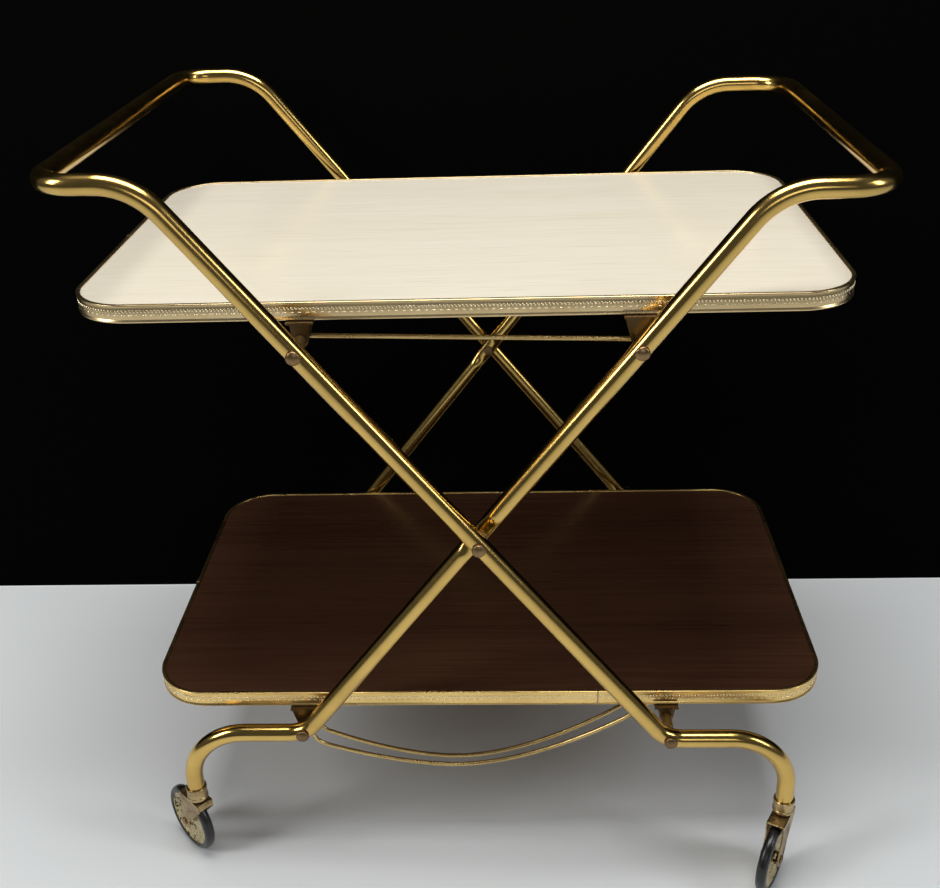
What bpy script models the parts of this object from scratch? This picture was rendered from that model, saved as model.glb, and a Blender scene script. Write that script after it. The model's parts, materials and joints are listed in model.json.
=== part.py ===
"""Folding serving trolley on castors: two crossed tube frames, two hinged trays. Metres, +Z up, front is -Y."""

from math import atan2, cos, hypot, pi, radians, sin, tan

import bpy
from mathutils import Matrix, Vector

for old in list(bpy.data.objects):
    bpy.data.objects.remove(old, do_unlink=True)

# Driving sizes. Everything below is worked out from these.
GAP = 0.0003
TUBE_R = 0.009
TUBE_BORE = 0.0076
OUTER_Y = 0.2403
INNER_Y = OUTER_Y - 2 * TUBE_R - 0.0008
CROSS_Z = 0.4060
LEG_RUN = 0.781
FLAT_HALF = 0.0060
# Each frame: its plane, the side of its handle, its handle bar, its corner radius and its foot.
OUTER = {"y": OUTER_Y, "hand": -1, "bar": (0.345, 0.744), "corner": 0.034, "foot": (0.3030, 0.1770)}
INNER = {"y": INNER_Y, "hand": 1, "bar": (0.342, 0.723), "corner": 0.040, "foot": (0.3085, 0.1700)}

UPPER_LEFT = (-(0.597 - CROSS_Z) * LEG_RUN, 0.597)
UPPER_RIGHT = ((0.588 - CROSS_Z) * LEG_RUN, 0.588)
LOWER_LEFT = (-0.1862, 0.1738)
LOWER_RIGHT = (0.1830, 0.1802)

TRAY_X = 0.3455
TRAY_Y = 0.2055
TRAY_CORNER = 0.056
TRAY_DEEP = 0.0168
TOP_TRAY_Z = 0.630
TOP_TRAY_SHIFT = -0.012
LOW_TRAY_Z = 0.208

PIN_R = 0.003
HOLE_R = 0.00335
WHEEL_R = 0.038
WHEEL_HALF = 0.0055
TRAIL = 0.023
CROWN_Z = 0.0810


def mesh_object(name, points, faces, origin=(0, 0, 0), smooth=True):
    """A mesh object whose points are given in world space and whose origin is at origin."""
    origin = Vector(origin)
    mesh = bpy.data.meshes.new(name)
    mesh.from_pydata([tuple(Vector(p) - origin) for p in points], [], faces)
    mesh.update()
    if smooth:
        mesh.shade_smooth()
        mesh.set_sharp_from_angle(angle=radians(35))
    obj = bpy.data.objects.new(name, mesh)
    obj.location = origin
    bpy.context.scene.collection.objects.link(obj)
    return obj


def helper(obj):
    """Marks a cutter or a joined shape, so that it isn't a piece of its own."""
    obj.hide_render = True
    obj.display_type = "WIRE"
    return obj


def combine(obj, other, operation):
    helper(other)
    step = obj.modifiers.new(operation.title(), "BOOLEAN")
    step.operation = operation
    step.solver = "EXACT"
    step.object = other
    return obj


def turned(name, profile, steps, placed, smooth=True):
    """A shape turned about local Z from (radius, height) pairs. Pairs of radius 0 at both ends close it."""
    solid = profile[0][0] == 0
    rings = profile[1:-1] if solid else profile
    points = []
    for r, h in rings:
        for k in range(steps):
            a = 2 * pi * k / steps
            points.append((r * cos(a), r * sin(a), h))
    faces = []
    spans = len(rings) - 1 if solid else len(rings)
    for i in range(spans):
        low = i * steps
        high = (i + 1) % len(rings) * steps
        for k in range(steps):
            n = (k + 1) % steps
            faces.append((low + k, low + n, high + n, high + k))
    if solid:
        first = len(points)
        points.append((0, 0, profile[0][1]))
        points.append((0, 0, profile[-1][1]))
        last = (len(rings) - 1) * steps
        for k in range(steps):
            n = (k + 1) % steps
            faces.append((first, n, k))
            faces.append((first + 1, last + k, last + n))
    obj = mesh_object(name, points, faces, smooth=smooth)
    obj.matrix_world = placed
    return obj


def rod(name, r, start, end, steps=12):
    """A plain round bar between two points, used as a cutter."""
    start, end = Vector(start), Vector(end)
    along = end - start
    placed = Matrix.Translation(start) @ along.to_track_quat("Z", "Y").to_matrix().to_4x4()
    return turned(name, [(0, 0), (r, 0), (r, along.length), (0, along.length)], steps, placed)


def slab(name, outline, low, high, flat="XZ", origin=(0, 0, 0)):
    """An outline, given anticlockwise, drawn out between two levels of the axis that it leaves out."""
    count = len(outline)
    if flat == "XZ":
        low, high = high, low
        points = [(x, low, z) for x, z in outline] + [(x, high, z) for x, z in outline]
    else:
        points = [(x, y, low) for x, y in outline] + [(x, y, high) for x, y in outline]
    faces = [tuple(reversed(range(count))), tuple(range(count, 2 * count))]
    for k in range(count):
        n = (k + 1) % count
        faces.append((k, n, count + n, count + k))
    return mesh_object(name, points, faces, origin, smooth=False)


def rounded_path(corners):
    """Points along straight runs, with each corner (point, radius, steps) rounded to its radius."""
    path = [Vector(corners[0][0])]
    for before, here, after in zip(corners, corners[1:], corners[2:]):
        corner = Vector(here[0])
        radius, steps = here[1], here[2]
        if not radius:
            path.append(corner)
            continue
        back = (Vector(before[0]) - corner).normalized()
        ahead = (Vector(after[0]) - corner).normalized()
        half = back.angle(ahead) / 2
        middle = corner + (back + ahead).normalized() * (radius / sin(half))
        start = corner + back * (radius / tan(half)) - middle
        end = corner + ahead * (radius / tan(half)) - middle
        sweep = start.angle(end)
        for k in range(steps + 1):
            a = sweep * k / steps
            path.append(middle + (start * sin(sweep - a) + end * sin(a)) / sin(sweep))
    path.append(Vector(corners[-1][0]))
    return path


def swept(name, path, r, sides, origin, bore=0.0, squash=None):
    """A round bar, or with a bore a tube, along a path. squash(point) gives its depth and width shares."""
    tangents = []
    for k in range(len(path)):
        tangents.append((path[min(k + 1, len(path) - 1)] - path[max(k - 1, 0)]).normalized())
    side = Vector((0, 1, 0))
    points, inner = [], []
    for k, point in enumerate(path):
        if k:
            side = tangents[k - 1].rotation_difference(tangents[k]) @ side
        side = (side - tangents[k] * side.dot(tangents[k])).normalized()
        other = tangents[k].cross(side)
        deep, wide = squash(point) if squash else (1, 1)
        for j in range(sides):
            a = 2 * pi * j / sides
            points.append(point + side * (r * deep * cos(a)) + other * (r * wide * sin(a)))
        for j in range(sides // 2):
            a = 4 * pi * j / sides
            wall = r - bore
            inner.append(point + side * ((r * deep - wall) * cos(a)) + other * ((r * wide - wall) * sin(a)))
    faces = []
    for k in range(len(path) - 1):
        for j in range(sides):
            n = (j + 1) % sides
            faces.append((k * sides + j, k * sides + n, (k + 1) * sides + n, (k + 1) * sides + j))
    last = (len(path) - 1) * sides
    if not bore:
        faces.append(tuple(reversed(range(sides))))
        faces.append(tuple(range(last, last + sides)))
        return mesh_object(name, points, faces, origin)
    half, base = sides // 2, len(points)
    points += inner
    for k in range(len(path) - 1):
        for j in range(half):
            n = (j + 1) % half
            a, b = base + k * half, base + (k + 1) * half
            faces.append((a + n, a + j, b + j, b + n))
    for out, bored, first in ((0, base, True), (last, base + (len(path) - 1) * half, False)):
        for j in range(half):
            n = (j + 1) % half
            rim = [out + 2 * j, out + 2 * j + 1, out + (2 * j + 2) % sides]
            fan = [(rim[0], bored + j, rim[1]), (rim[1], bored + j, bored + n), (rim[1], bored + n, rim[2])]
            faces += fan if first else [tuple(reversed(f)) for f in fan]
    return mesh_object(name, points, faces, origin)


def arc(x, z, r, start, end, steps):
    """Points of an arc about (x, z), in degrees."""
    found = []
    for k in range(steps + 1):
        a = radians(start + (end - start) * k / steps)
        found.append((x + r * cos(a), z + r * sin(a)))
    return found


# The two tube frames. Each is one bent tube, foot to foot over its handle bar.
def leg_half(frame, side):
    """One side of a frame from its foot to its handle corner."""
    y, hand = frame["y"], frame["hand"]
    bar_x, bar_z = frame["bar"]
    foot_x, foot_z = frame["foot"]
    bend_x = (bar_z - CROSS_Z) * LEG_RUN
    knee_x = (CROSS_Z - foot_z) * LEG_RUN
    run = Vector((hand * LEG_RUN, 0, 1)).normalized()
    centre = Vector((0, side * y, CROSS_Z))
    corners = [
        ((-hand * foot_x, side * y, 0.0885), 0, 0),
        ((-hand * foot_x, side * y, foot_z), 0.060, 6),
        ((-hand * knee_x, side * y, foot_z), 0.035, 3),
    ]
    for step in (-0.028, -0.012, 0.012, 0.028):
        corners.append((tuple(centre + run * step), 0, 0))
    corners.append(((hand * bend_x, side * y, bar_z), 0.065, 4))
    corners.append(((hand * bar_x, side * y, bar_z), frame["corner"], 5))
    return corners


def flattened(point):
    """The inner tube is pressed flat where the outer one crosses it."""
    away = hypot(point.x, point.z - CROSS_Z)
    if abs(point.y) < INNER_Y / 2 or away > 0.027:
        return 1, 1
    share = min(1, max(0, (away - 0.012) / 0.015))
    flat = FLAT_HALF / TUBE_R
    return flat + (1 - flat) * share, 0.96 + 0.04 * share


def frame_tube(name, frame, origin, squash):
    path = rounded_path(leg_half(frame, -1) + leg_half(frame, 1)[::-1])
    return swept(name, path, TUBE_R, 14, origin, TUBE_BORE, squash)


outer = frame_tube("outer_frame_tube", OUTER, (0, 0, 0), None)
inner = frame_tube("inner_frame_tube", INNER, (0, 0, CROSS_Z), flattened)
pivots = {
    "upper_left": (*UPPER_LEFT, outer, OUTER_Y),
    "upper_right": (*UPPER_RIGHT, inner, INNER_Y),
    "lower_left": (*LOWER_LEFT, inner, INNER_Y),
    "lower_right": (*LOWER_RIGHT, outer, OUTER_Y),
}
for word, (x, z, tube, y) in pivots.items():
    for side, end in ((-1, "front"), (1, "rear")):
        cutter = rod(f"cut_{word}_{end}", HOLE_R, (x, side * (y - 0.014), z), (x, side * (y + 0.014), z), 10)
        combine(tube, cutter, "DIFFERENCE")
for tube, y in ((outer, OUTER_Y), (inner, INNER_Y)):
    for side in (-1, 1):
        start, end = (0, side * (y - 0.014), CROSS_Z), (0, side * (y + 0.014), CROSS_Z)
        combine(tube, rod(f"cut_cross_{tube.name}_{side}", HOLE_R, start, end, 10), "DIFFERENCE")


# Pivot pins with domed heads. EAR_OUT and EAR_IN are the two ears of a tray bracket, as (far, near) depths.
EAR_OUT = (0.2110, 0.2090)
EAR_IN = (0.2035, 0.2015)


def facing(side, x, y, z):
    """Placement whose local Z points out of the front or the rear."""
    return Matrix.Translation((x, side * y, z)) @ Matrix.Rotation(-side * pi / 2, 4, "X")


def domed(shank, head=0.0066):
    """A pin with its head at and above height 0 and its shank below it."""
    return [
        (0, -shank),
        (PIN_R - 0.0004, -shank),
        (PIN_R, -shank + 0.0005),
        (PIN_R, 0),
        (head, 0),
        (head, 0.0016),
        (head * 0.78, 0.0033),
        (0, 0.0040),
    ]


for side, end in ((-1, "front"), (1, "rear")):
    for word, (x, z, tube, y) in pivots.items():
        face = y + TUBE_R + GAP
        reach = EAR_IN[1] + 0.0005 if y == OUTER_Y else EAR_OUT[1] - 0.0005
        turned(f"pin_{word}_{end}", domed(face - reach), 12, facing(side, x, face, z))
        if y == OUTER_Y:
            length = y - TUBE_R - GAP - (EAR_OUT[0] + GAP)
            bush = [(HOLE_R, 0), (0.0052, 0), (0.0052, length), (HOLE_R, length)]
            turned(f"spacer_{word}_{end}", bush, 12, facing(side, x, EAR_OUT[0] + GAP, z))
    face = OUTER_Y + TUBE_R + GAP
    inside = INNER_Y - FLAT_HALF - GAP
    shank = face - inside
    centre_pin = [(0, -shank - 0.0022), (0.0036, -shank - 0.0022), (0.0052, -shank - 0.0008), (0.0052, -shank)]
    centre_pin += [(PIN_R, -shank)] + domed(shank)[3:]
    turned(f"pin_centre_{end}", centre_pin, 12, facing(side, 0, face, CROSS_Z))
    low = INNER_Y + FLAT_HALF + GAP
    high = OUTER_Y - TUBE_R - GAP
    washer = [(HOLE_R, 0), (0.0075, 0), (0.0075, high - low), (HOLE_R, high - low)]
    turned(f"washer_centre_{end}", washer, 16, facing(side, 0, low, CROSS_Z))


# The two trays: a board, a laminate sheet on it and a metal edge band folded over both.
def rounded_rectangle(half_x, half_y, r, x=0.0, steps=6):
    outline = []
    for sx, sy, start in ((1, 1, 0), (-1, 1, 90), (-1, -1, 180), (1, -1, 270)):
        outline += arc(x + sx * (half_x - r), sy * (half_y - r), r, start, start + 90, steps)
    return outline


def tray(prefix, x, top, origin):
    wall, lip = 0.0012, 0.0040
    inset = wall + GAP
    bottom = top - TRAY_DEEP
    plan = rounded_rectangle(TRAY_X - inset, TRAY_Y - inset, TRAY_CORNER - inset, x)
    slab(f"{prefix}_board", plan, bottom + 0.0015, top - 0.0026, "XY", origin)
    inset = lip + GAP
    plan = rounded_rectangle(TRAY_X - inset, TRAY_Y - inset, TRAY_CORNER - inset, x)
    slab(f"{prefix}_laminate", plan, top - 0.0023, top - 0.0013, "XY", origin)
    section = [
        (0, bottom + 0.0006),
        (0.0006, bottom),
        (lip, bottom),
        (lip, bottom + 0.0010),
        (wall, bottom + 0.0010),
        (wall, top - 0.0010),
        (lip, top - 0.0010),
        (lip, top),
        (0.0006, top),
        (0, top - 0.0006),
    ]
    points, faces = [], []
    for inward, z in section:
        ring = rounded_rectangle(TRAY_X - inward, TRAY_Y - inward, TRAY_CORNER - inward, x)
        points += [(px, py, z) for px, py in ring]
    count = len(points) // len(section)
    for i in range(len(section)):
        low = i * count
        high = (i + 1) % len(section) * count
        for k in range(count):
            n = (k + 1) % count
            faces.append((high + k, high + n, low + n, low + k))
    mesh_object(f"{prefix}_edge_band", points, faces, origin)


upper_hinge = (UPPER_LEFT[0], 0, UPPER_LEFT[1])
lower_hinge = (LOWER_RIGHT[0], 0, LOWER_RIGHT[1])
tray("top_tray", TOP_TRAY_SHIFT, TOP_TRAY_Z, upper_hinge)
tray("low_tray", 0.0, LOW_TRAY_Z, lower_hinge)


# Brackets under the trays. Two ears hang from a flange: hinge ears are bored, catch ears have an open mouth.
def hinge_ear(x, z, under):
    top = under - GAP - 0.0004
    return [(x + 0.0085, top), (x - 0.0085, top)] + arc(x, z, 0.0070, 190, 350, 8)


def catch_ear(x, z, under, mouth):
    """A plate with a round seat over the free pin. It is open towards mouth, in degrees."""
    top = under - GAP - 0.0004
    seat, far, lip = 0.0040, 0.0078, 0.0020
    first, last = (mouth - 90) % 360, (mouth + 90) % 360
    out = Vector((cos(radians(mouth)), sin(radians(mouth)))) * lip
    outline = [(x + 0.0125, top), (x - 0.0125, top)]
    if first > 180:
        outline += arc(x, z, far, 180, first, 2)
    outline += arc(x + out.x, z + out.y, far, first, first, 1)[:1]
    outline += arc(x + out.x, z + out.y, seat, first, first, 1)[:1]
    outline += arc(x, z, seat, mouth + 270, mouth + 90, 8)
    outline += arc(x + out.x, z + out.y, seat, last, last, 1)[:1]
    outline += arc(x + out.x, z + out.y, far, last, last, 1)[:1]
    if last > 180:
        outline += arc(x, z, far, last, 360, 3)
    return outline


def bracket(name, side, x, z, under, outer_ear, span, bored, origin):
    """A folded bracket. span is the flange's reach to the left and the right of the pivot."""
    low, high = sorted((side * EAR_OUT[0], side * EAR_OUT[1]))
    body = slab(name, outer_ear, low, high, "XZ", origin)
    low, high = sorted((side * EAR_IN[0], side * EAR_IN[1]))
    plain = [(x + span[1] - 0.0005, under - 0.0007), (x + span[0] + 0.0005, under - 0.0007)]
    plain += arc(x, z, 0.0066, 190, 350, 8)
    combine(body, slab(f"join_{name}_ear", plain, low, high, "XZ"), "UNION")
    edge = [(x + span[0], side * EAR_OUT[0]), (x + span[1], side * EAR_OUT[0])]
    edge += [(x + span[1], side * EAR_IN[1]), (x + span[0], side * EAR_IN[1])]
    if side > 0:
        edge.reverse()
    combine(body, slab(f"join_{name}_flange", edge, under - 0.0022, under - GAP, "XY"), "UNION")
    if bored:
        cutter = rod(f"cut_{name}", HOLE_R, (x, side * 0.190, z), (x, side * 0.222, z), 12)
        combine(body, cutter, "DIFFERENCE")
    return body


top_under = TOP_TRAY_Z - TRAY_DEEP
low_under = LOW_TRAY_Z - TRAY_DEEP
wire_r = 0.0022
BOW_TOP = low_under - GAP - wire_r
BOW_LOW = (-0.033, 0.101)
BOW = []
for k in range(9):
    share = -1 + 0.24 * k
    fall = 1 - abs(share) ** 1.75
    span = 0.148 if share < 0 else 0.190
    rise = 0.037 if share < 0 else 0.076
    BOW.append((BOW_LOW[0] + share * span, BOW_LOW[1] + (1 - fall) * rise, 0.0045 * fall))


def bowed_wire(name, side, y, pinch):
    """A wire that sags from the lower tray's left bracket and rises to its underside at the right."""
    corners = [((-0.1865, side * y, BOW_TOP), 0, 0), ((-0.1860, side * y, 0.1660), 0.006, 2)]
    corners += [((x, side * (y + pinch * near), z), 0.030, 2) for x, z, near in BOW]
    corners += [((0.166, side * y, BOW_TOP), 0.012, 2), ((0.182, side * y, BOW_TOP), 0, 0)]
    swept(name, rounded_path(corners), wire_r, 6, lower_hinge)


for side, end in ((-1, "front"), (1, "rear")):
    ear = hinge_ear(*UPPER_LEFT, top_under)
    bracket(f"top_hinge_{end}", side, *UPPER_LEFT, top_under, ear, (-0.012, 0.012), True, upper_hinge)
    ear = catch_ear(*UPPER_RIGHT, top_under, 195)
    bracket(f"top_catch_{end}", side, *UPPER_RIGHT, top_under, ear, (-0.014, 0.014), False, upper_hinge)
    ear = hinge_ear(*LOWER_RIGHT, low_under)
    bracket(f"low_hinge_{end}", side, *LOWER_RIGHT, low_under, ear, (-0.012, 0.012), True, lower_hinge)
    ear = catch_ear(*LOWER_LEFT, low_under, 306)
    bracket(f"low_catch_{end}", side, *LOWER_LEFT, low_under, ear, (-0.014, 0.014), False, lower_hinge)

    # The straight tie rod between the top tray's brackets, and two bowed wires under the lower tray.
    near, far = EAR_IN[1] - GAP - wire_r, 0.1770
    ends = [Vector((UPPER_LEFT[0] + 0.001, side * near, UPPER_LEFT[1]))]
    ends.append(Vector((UPPER_RIGHT[0] + 0.001, side * near, UPPER_RIGHT[1])))
    swept(f"top_tie_rod_{end}", ends, wire_r, 10, upper_hinge)
    bowed_wire(f"low_outer_wire_{end}", side, near, -1)
    bowed_wire(f"low_inner_wire_{end}", side, far, 1)


# Four castors. The socket stays on its tube, the fork turns in it and carries the axle, hub and tyre.
SOCKET = [(0.0047, 0.0826), (0.0098, 0.0826), (0.0110, 0.0840), (0.0110, 0.0975), (0.0104, 0.0985)]
SOCKET += [(TUBE_R + GAP, 0.0985), (TUBE_R + GAP, 0.0880), (0.0047, 0.0880)]
STEM = [(0, 0.0795), (0.0080, 0.0795), (0.0080, 0.0823), (0.0040, 0.0823), (0.0040, 0.1040), (0, 0.1050)]
HUB = [(0.0029, -0.0060), (0.0070, -0.0060), (0.0085, -0.0024), (0.0190, -0.0018), (0.0310, -0.0044)]
HUB += [(0.0310, 0.0044), (0.0190, 0.0018), (0.0085, 0.0024), (0.0070, 0.0060), (0.0029, 0.0060)]
TYRE = [(0.0313, -WHEEL_HALF), (0.0350, -WHEEL_HALF), (WHEEL_R, -0.0020)]
TYRE += [(WHEEL_R, 0.0020), (0.0350, WHEEL_HALF), (0.0313, WHEEL_HALF)]
AXLE = [(0, -0.0112), (0.0030, -0.0112), (0.0040, -0.0096), (0.0026, -0.0096)]
AXLE += [(0.0026, 0.0096), (0.0040, 0.0096), (0.0030, 0.0112), (0, 0.0112)]


def castor(word, x, y, heading):
    """One castor at a foot. heading is the way that its wheel trails, in degrees from +X."""
    foot = Matrix.Translation((x, y, 0))
    turn = Matrix.Rotation(radians(heading), 4, "Z")
    turned(f"socket_{word}", SOCKET, 16, foot)
    cheek = [(-0.0125, CROWN_Z), (-0.0125, 0.0710), (TRAIL - 0.0085, 0.0400)]
    cheek += arc(TRAIL, WHEEL_R, 0.0085, 190, 350, 6) + [(0.0240, 0.0710), (0.0240, CROWN_Z)]
    fork = slab(f"fork_{word}", cheek, -0.0093, 0.0093)
    space = [(-0.030, -0.0073), (0.050, -0.0073), (0.050, 0.0073), (-0.030, 0.0073)]
    inside = slab(f"cut_fork_{word}", space, 0.010, CROWN_Z - 0.0022, "XY")
    stem = turned(f"join_fork_{word}", STEM, 14, Matrix.Identity(4))
    bore = rod(f"cut_axle_{word}", 0.0029, (TRAIL, -0.02, WHEEL_R), (TRAIL, 0.02, WHEEL_R), 10)
    for shape in (fork, inside, stem, bore):
        shape.matrix_world = foot @ turn @ shape.matrix_world
    combine(fork, inside, "DIFFERENCE")
    combine(fork, bore, "DIFFERENCE")
    combine(fork, stem, "UNION")
    hub = foot @ turn @ Matrix.Translation((TRAIL, 0, WHEEL_R)) @ Matrix.Rotation(-pi / 2, 4, "X")
    turned(f"axle_{word}", AXLE, 10, hub)
    turned(f"hub_{word}", HUB, 20, hub)
    turned(f"tyre_{word}", TYRE, 28, hub)


FEET = []
for side, end in ((-1, "front"), (1, "rear")):
    for hand, x, y, trail in (("left", -INNER["foot"][0], INNER_Y, 136), ("right", OUTER["foot"][0], OUTER_Y, 120)):
        word = f"{end}_{hand}"
        castor(word, x, side * y, trail if word in ("front_left", "rear_right") else -trail)
        FEET.append((word, x, side * y))


# Joints. An empty stands on each axis, and what turns about it is parented to it.
def hinge(name, place, pieces):
    axis = bpy.data.objects.new(name, None)
    axis.location = place
    axis.empty_display_size = 0.03
    bpy.context.scene.collection.objects.link(axis)
    for piece in pieces:
        piece.parent = axis
        piece.matrix_parent_inverse = Matrix.Translation(place).inverted()
    return axis


def named(*starts):
    return [obj for obj in bpy.data.objects if obj.name.startswith(starts)]


bpy.context.view_layer.update()
moved = named("inner_frame_tube", "pin_upper_right", "pin_lower_left", "socket_front_left", "socket_rear_left")
for word, x, y in FEET:
    place = (x, y, SOCKET[0][1])
    wheel_at = tuple(bpy.data.objects[f"hub_{word}"].matrix_world.translation)
    wheel = hinge(f"wheel_axis_{word}", wheel_at, named(f"hub_{word}", f"tyre_{word}"))
    swivel = hinge(f"swivel_axis_{word}", place, named(f"fork_{word}", f"axle_{word}") + [wheel])
    if x < 0:
        moved.append(swivel)
hinge("fold_axis", (0, 0, CROSS_Z), moved)
hinge("top_tray_axis", upper_hinge, named("top_"))
hinge("low_tray_axis", lower_hinge, named("low_"))


# Materials. A piece takes the finish whose words its name holds.
def finish(name, colour, metallic, roughness, *words):
    material = bpy.data.materials.new(name)
    material.use_nodes = True
    shader = material.node_tree.nodes["Principled BSDF"]
    shader.inputs["Base Color"].default_value = (*colour, 1)
    shader.inputs["Metallic"].default_value = metallic
    shader.inputs["Roughness"].default_value = roughness
    material.diffuse_color = (*colour, 1)
    for obj in bpy.data.objects:
        if obj.type == "MESH" and any(word in obj.name for word in words):
            obj.data.materials.clear()
            obj.data.materials.append(material)


finish("polished_brass", (0.72, 0.53, 0.22), 1, 0.18, "frame_tube", "rod", "wire", "spacer", "washer")
finish("embossed_brass", (0.72, 0.52, 0.20), 1, 0.30, "edge_band")
finish("dull_brass", (0.42, 0.30, 0.14), 1, 0.40, "hinge", "catch", "socket", "fork")
finish("browned_brass", (0.22, 0.14, 0.08), 1, 0.45, "pin_", "axle")
finish("pitted_brass", (0.55, 0.45, 0.24), 1, 0.35, "hub")
finish("black_rubber", (0.02, 0.02, 0.02), 0, 0.45, "tyre")
finish("particle_board", (0.45, 0.34, 0.22), 0, 0.80, "board")
finish("pale_laminate", (0.80, 0.75, 0.64), 0, 0.30, "top_tray_laminate")
finish("walnut_laminate", (0.07, 0.03, 0.02), 0, 0.30, "low_tray_laminate")
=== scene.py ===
import json
from math import cos, hypot, pi, radians, sin, tan

import bpy
from mathutils import Matrix, Vector

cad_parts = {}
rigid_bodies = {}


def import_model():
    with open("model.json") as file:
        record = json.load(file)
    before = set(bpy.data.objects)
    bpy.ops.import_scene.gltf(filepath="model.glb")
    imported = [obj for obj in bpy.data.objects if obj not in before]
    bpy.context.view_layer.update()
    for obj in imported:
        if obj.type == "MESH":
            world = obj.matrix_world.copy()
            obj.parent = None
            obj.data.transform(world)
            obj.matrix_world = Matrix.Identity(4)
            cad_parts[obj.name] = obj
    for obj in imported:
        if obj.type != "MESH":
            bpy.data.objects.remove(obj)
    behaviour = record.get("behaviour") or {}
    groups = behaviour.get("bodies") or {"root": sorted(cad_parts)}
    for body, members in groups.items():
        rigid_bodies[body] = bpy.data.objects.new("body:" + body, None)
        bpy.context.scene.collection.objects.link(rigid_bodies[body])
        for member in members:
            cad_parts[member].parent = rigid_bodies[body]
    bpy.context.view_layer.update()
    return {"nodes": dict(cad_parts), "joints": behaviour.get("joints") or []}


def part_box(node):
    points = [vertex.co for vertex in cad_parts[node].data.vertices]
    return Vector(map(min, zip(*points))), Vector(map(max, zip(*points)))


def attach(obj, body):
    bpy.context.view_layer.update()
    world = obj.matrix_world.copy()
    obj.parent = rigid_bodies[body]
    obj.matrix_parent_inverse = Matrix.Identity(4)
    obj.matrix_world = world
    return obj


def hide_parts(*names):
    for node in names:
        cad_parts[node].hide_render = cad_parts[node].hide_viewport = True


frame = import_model()
joints = {joint["name"]: joint for joint in frame["joints"]}


# The stand: a pale floor, a dark cloth hung close behind the trolley, and soft studio light from above, from
# both sides and from behind. The cloth shows from its front only, so it never hides the trolley from behind.
def link_up(tree, *pairs):
    for output, socket in pairs:
        tree.links.new(output, socket)


def new_node(tree, kind, **values):
    """A node of a tree. Values that name a socket set it, and the others set the node's own properties."""
    node = tree.nodes.new(kind)
    for word, value in values.items():
        name = word.replace("_", " ").title()
        if hasattr(node, word):
            setattr(node, word, value)
        else:
            node.inputs[name].default_value = value
    return node


def plain_material(name, colour, roughness):
    material = bpy.data.materials.new(name)
    material.use_nodes = True
    shader = material.node_tree.nodes["Principled BSDF"]
    shader.inputs["Base Color"].default_value = (*colour, 1)
    shader.inputs["Roughness"].default_value = roughness
    return material


def flat_sheet(name, corners, material):
    mesh = bpy.data.meshes.new(name)
    mesh.from_pydata(corners, [], [(0, 1, 2, 3)])
    mesh.materials.append(material)
    sheet = bpy.data.objects.new(name, mesh)
    bpy.context.scene.collection.objects.link(sheet)
    return sheet


FLOOR_HALF = 3.2
CLOTH_Y = 0.297
floor_paint = plain_material("pale_floor", (0.80, 0.83, 0.85), 0.55)
corners = [(-FLOOR_HALF, -FLOOR_HALF, 0), (FLOOR_HALF, -FLOOR_HALF, 0)]
corners += [(FLOOR_HALF, FLOOR_HALF, 0), (-FLOOR_HALF, FLOOR_HALF, 0)]
flat_sheet("studio_floor", corners, floor_paint)
cloth_paint = plain_material("dark_cloth", (0.002, 0.002, 0.002), 1.0)
tree = cloth_paint.node_tree
tree.nodes["Principled BSDF"].inputs["Specular IOR Level"].default_value = 0
facing = new_node(tree, "ShaderNodeNewGeometry")
clear = new_node(tree, "ShaderNodeBsdfTransparent")
either = new_node(tree, "ShaderNodeMixShader")
link_up(
    tree,
    (facing.outputs["Backfacing"], either.inputs[0]),
    (tree.nodes["Principled BSDF"].outputs[0], either.inputs[1]),
    (clear.outputs[0], either.inputs[2]),
    (either.outputs[0], tree.nodes["Material Output"].inputs["Surface"]),
)
corners = [(-3, CLOTH_Y, 0.001), (3, CLOTH_Y, 0.001), (3, CLOTH_Y, 3), (-3, CLOTH_Y, 3)]
flat_sheet("backdrop_cloth", corners, cloth_paint)

world = bpy.data.worlds.new("studio")
world.use_nodes = True
world.node_tree.nodes["Background"].inputs["Color"].default_value = (0.95, 0.97, 1.0, 1)
world.node_tree.nodes["Background"].inputs["Strength"].default_value = 0.07
bpy.context.scene.world = world
bpy.context.scene.view_settings.view_transform = "Standard"


def softbox(name, place, aim, width, height, power, tint):
    light = bpy.data.lights.new(name, "AREA")
    light.shape = "RECTANGLE"
    light.size = width
    light.size_y = height
    light.energy = power
    light.color = tint
    box = bpy.data.objects.new(name, light)
    box.location = place
    box.rotation_euler = (Vector(aim) - Vector(place)).to_track_quat("-Z", "Y").to_euler()
    bpy.context.scene.collection.objects.link(box)


softbox("overhead", (0.0, -0.2, 2.5), (0, 0, 0.2), 1.5, 1.0, 42, (1.0, 0.99, 0.97))
softbox("left_window", (-2.2, -1.2, 1.9), (0, 0, 0.4), 0.7, 1.2, 26, (1.0, 0.99, 0.97))
softbox("right_window", (2.3, -1.0, 1.7), (0, 0, 0.4), 0.5, 1.2, 14, (0.97, 0.98, 1.0))
softbox("rear_fill", (-1.4, 2.6, 1.9), (0, 0, 0.4), 1.2, 0.8, 12, (1.0, 0.99, 0.97))
softbox("behind_camera", (0.3, -2.8, 1.5), (0, 0, 0.3), 1.4, 0.6, 5, (1.0, 0.98, 0.95))

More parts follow.
